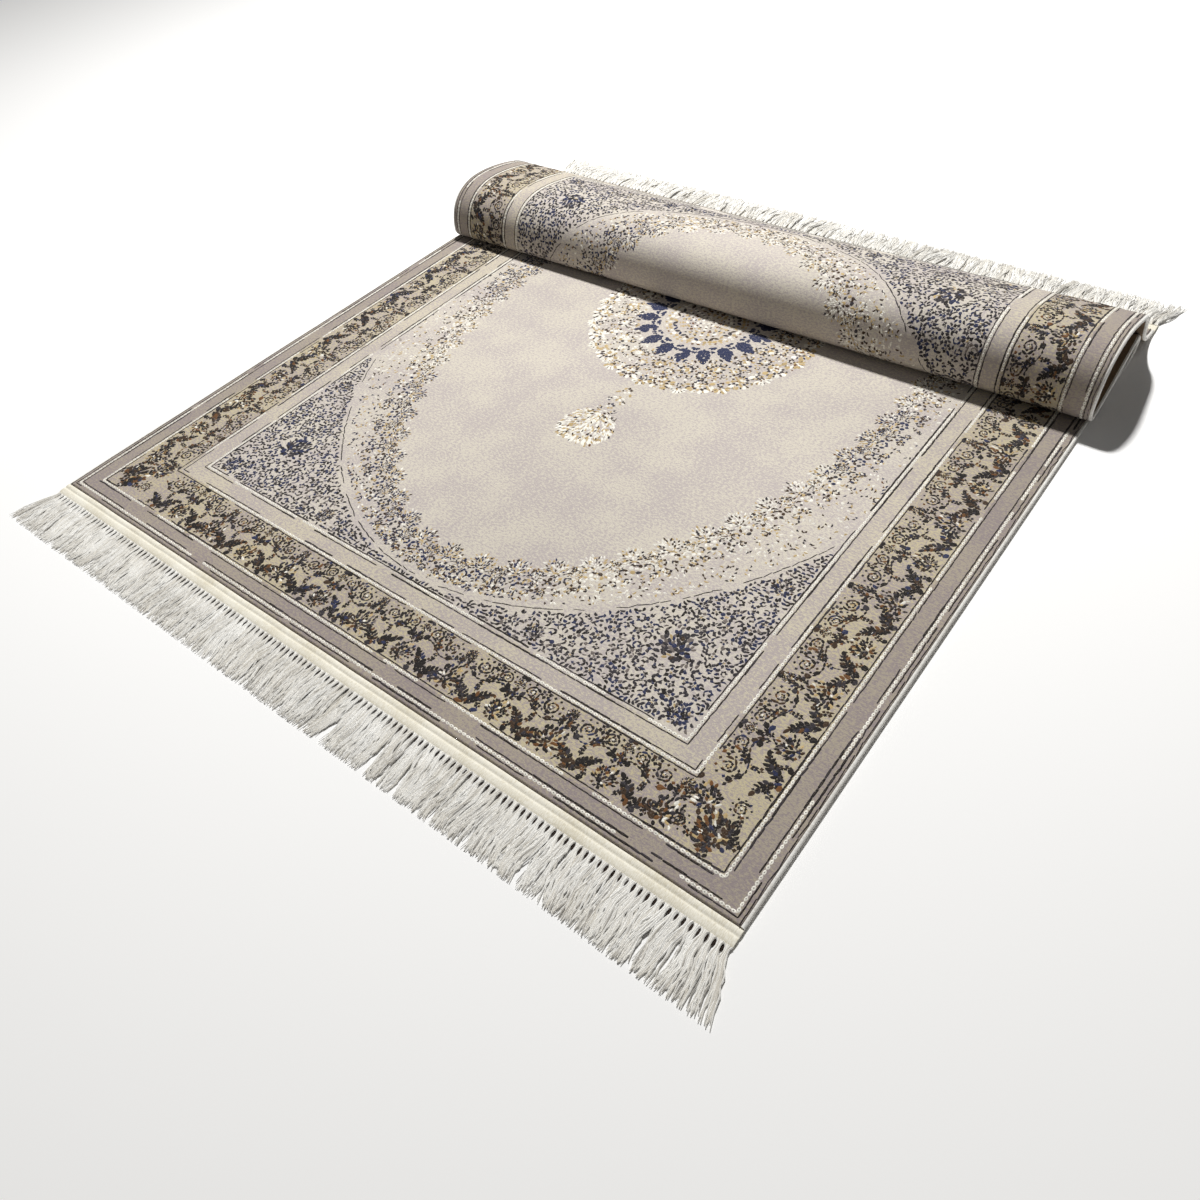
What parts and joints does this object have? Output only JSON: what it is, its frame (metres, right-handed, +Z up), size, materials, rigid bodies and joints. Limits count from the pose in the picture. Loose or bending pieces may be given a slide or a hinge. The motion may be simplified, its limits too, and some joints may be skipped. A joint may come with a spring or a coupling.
{
  "type": "rolled up carpet",
  "caption": "Fringed pile carpet laid flat at its near end and turned back loosely over itself at its far end.",
  "frame": {"origin": "middle of the base, on the floor that the carpet lies on", "axes": "+Y from the flat near end towards the turned-back far end, +X to the right, +Z up"},
  "size_m": [1.6672, 1.788, 0.1508],
  "materials": {
    "pile": "short dense machine-woven pile in beige and lavender grey with a traditional medallion pattern, cream jute-coloured back",
    "serging": "white overcast yarn binding",
    "heading": "ribbed cream woven tape",
    "fringe": "loose glossy off-white yarn tassels"
  },
  "bodies": {
    "root": {"carpet": "pile", "serging_left": "serging", "serging_right": "serging", "heading_near": "heading", "heading_far": "heading", "fringe_near": "fringe", "fringe_far": "fringe"}
  },
  "joints": []
}
